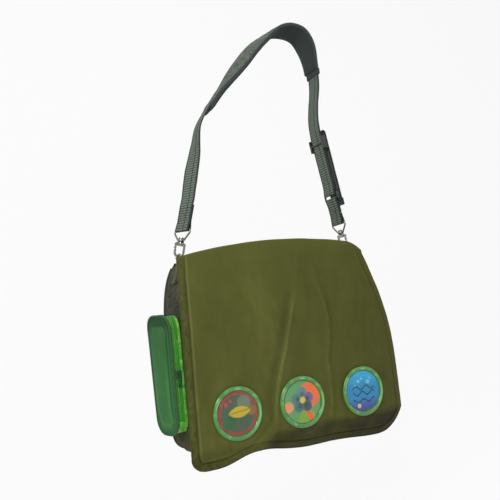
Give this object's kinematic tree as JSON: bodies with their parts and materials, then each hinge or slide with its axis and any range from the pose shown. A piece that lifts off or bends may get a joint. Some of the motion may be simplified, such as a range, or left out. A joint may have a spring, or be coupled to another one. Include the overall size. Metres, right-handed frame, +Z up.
{
  "type": "shoulder bag",
  "caption": "Flapped shoulder bag with round badges, a zipped side pocket and an adjustable, padded webbing strap clipped to rings on swivel hooks.",
  "frame": {"origin": "the underside of the shoulder pad at the top of the strap's arch, where the bag hangs on a shoulder", "axes": "+Z up, along the strap; +X to the right seen from the flap's side, along the bag's width; +Y from the flap to the back panel"},
  "size_m": [0.4565, 0.1159, 0.7987],
  "materials": {
    "flap_nylon": "plain woven nylon, faint sheen",
    "lining_nylon": "smooth coated nylon",
    "body_nylon": "plain woven nylon",
    "gusset_fabric": "matt heathered weave",
    "closure_tape": "matt hook and loop pile",
    "pocket_fabric": "matt woven",
    "pocket_binding": "matt binding tape",
    "pocket_satin": "satin sheen, puckered",
    "zipper_coil": "moulded coil",
    "zipper_metal": "painted, satin",
    "strap_webbing": "ribbed webbing",
    "pad_fabric": "matt woven, wrinkled",
    "pad_foam": "closed-cell foam edge",
    "pad_back": "matt mesh",
    "pad_binding": "matt binding tape",
    "adjuster_plastic": "moulded, satin",
    "hardware_metal": "bright plated die casting",
    "badge_rim": "moulded, glossy",
    "left_print": "printed card",
    "middle_print": "printed card",
    "right_print": "printed card",
    "badge_dome": "clear glossy lens",
    "badge_washer": "plain plated"
  },
  "bodies": {
    "strap": {"front_swivel_eye": "hardware_metal", "rear_swivel_eye": "hardware_metal", "front_webbing": "strap_webbing", "rear_webbing": "strap_webbing", "hook_webbing": "strap_webbing", "square_ring": "adjuster_plastic", "pad_foam": "pad_foam", "pad_cover": "pad_fabric", "pad_underside": "pad_back", "pad_near_binding": "pad_binding", "pad_far_binding": "pad_binding", "pad_keeper": "pad_binding"},
    "front_hook": {"front_hook_body": "hardware_metal", "front_gate_pin": "hardware_metal"},
    "front_gate": {"front_gate": "hardware_metal"},
    "rear_hook": {"rear_hook_body": "hardware_metal", "rear_gate_pin": "hardware_metal"},
    "rear_gate": {"rear_gate": "hardware_metal"},
    "glide": {"tri_glide": "adjuster_plastic"},
    "bag": {"front_panel": "body_nylon", "back_panel": "body_nylon", "left_gusset": "gusset_fabric", "right_gusset": "gusset_fabric", "bottom_gusset": "body_nylon", "left_d_ring": "hardware_metal", "left_ring_tab": "gusset_fabric", "right_d_ring": "hardware_metal", "right_ring_tab": "gusset_fabric", "closure_loop_left": "closure_tape", "closure_loop_right": "closure_tape", "pocket_inner_gusset": "pocket_satin", "pocket_outer_gusset": "pocket_satin", "zipper_inner_tape": "pocket_satin", "zipper_outer_tape": "pocket_satin", "zipper_inner_coil": "zipper_coil", "zipper_outer_coil": "zipper_coil", "pocket_front_panel": "pocket_fabric", "pocket_back_panel": "pocket_fabric", "pocket_front_binding": "pocket_binding"},
    "flap_top": {"flap_top_cloth": "flap_nylon", "flap_top_lining": "lining_nylon"},
    "flap_front": {"flap_cloth": "flap_nylon", "flap_lining": "lining_nylon", "closure_hook_left": "closure_tape", "closure_hook_right": "closure_tape", "left_badge_base": "badge_rim", "left_badge_print": "left_print", "left_badge_dome": "badge_dome", "left_badge_washer": "badge_washer", "middle_badge_base": "badge_rim", "middle_badge_print": "middle_print", "middle_badge_dome": "badge_dome", "middle_badge_washer": "badge_washer", "right_badge_base": "badge_rim", "right_badge_print": "right_print", "right_badge_dome": "badge_dome", "right_badge_washer": "badge_washer"},
    "slider": {"zipper_slider": "zipper_metal"},
    "pull": {"zipper_pull": "zipper_metal"}
  },
  "joints": [
    {"name": "bag_swing", "type": "hinge", "parent": "strap", "child": "bag", "pos_m": [-0.09169, 0, -0.43763], "axis": [1, 0, 0], "range_deg": [-55, 55]},
    {"name": "flap_lift", "type": "hinge", "parent": "bag", "child": "flap_top", "pos_m": [-0.09169, 0.056, -0.43548], "axis": [-1, 0, 0], "range_deg": [0, 22]},
    {"name": "flap_fold", "type": "hinge", "parent": "flap_top", "child": "flap_front", "pos_m": [-0.09169, -0.051, -0.44778], "axis": [-1, 0, 0], "range_deg": [0, 135]},
    {"name": "zipper_slide", "type": "slide", "parent": "bag", "child": "slider", "axis": [0, 0, 1], "range_m": [-0.058, 0.058]},
    {"name": "zipper_pull_swing", "type": "hinge", "parent": "slider", "child": "pull", "pos_m": [-0.29119, -0.0382, -0.62463], "axis": [-1, 0, 0], "range_deg": [0, 170]},
    {"name": "front_hook_swivel", "type": "hinge", "parent": "strap", "child": "front_hook", "pos_m": [-0.2609, 0, -0.42563], "axis": [0.2672, 0, 0.9636], "range_deg": [-35, 35]},
    {"name": "front_gate_open", "type": "hinge", "parent": "front_hook", "child": "front_gate", "pos_m": [-0.26357, 0, -0.40642], "axis": [0, -1, 0], "range_deg": [0, 25], "stiffness_Nm_per_rad": 0.05, "springref_deg": -11.46},
    {"name": "rear_hook_swivel", "type": "hinge", "parent": "strap", "child": "rear_hook", "pos_m": [0.07752, 0, -0.42563], "axis": [-0.1547, 0, 0.988], "range_deg": [-35, 35]},
    {"name": "rear_gate_open", "type": "hinge", "parent": "rear_hook", "child": "rear_gate", "pos_m": [0.08238, 0, -0.40685], "axis": [0, 1, 0], "range_deg": [0, 25], "stiffness_Nm_per_rad": 0.05, "springref_deg": -11.46},
    {"name": "strap_adjust", "type": "slide", "parent": "strap", "child": "glide", "axis": [-0.1547, 0, 0.988], "range_m": [-0.07, 0.002]}
  ]
}
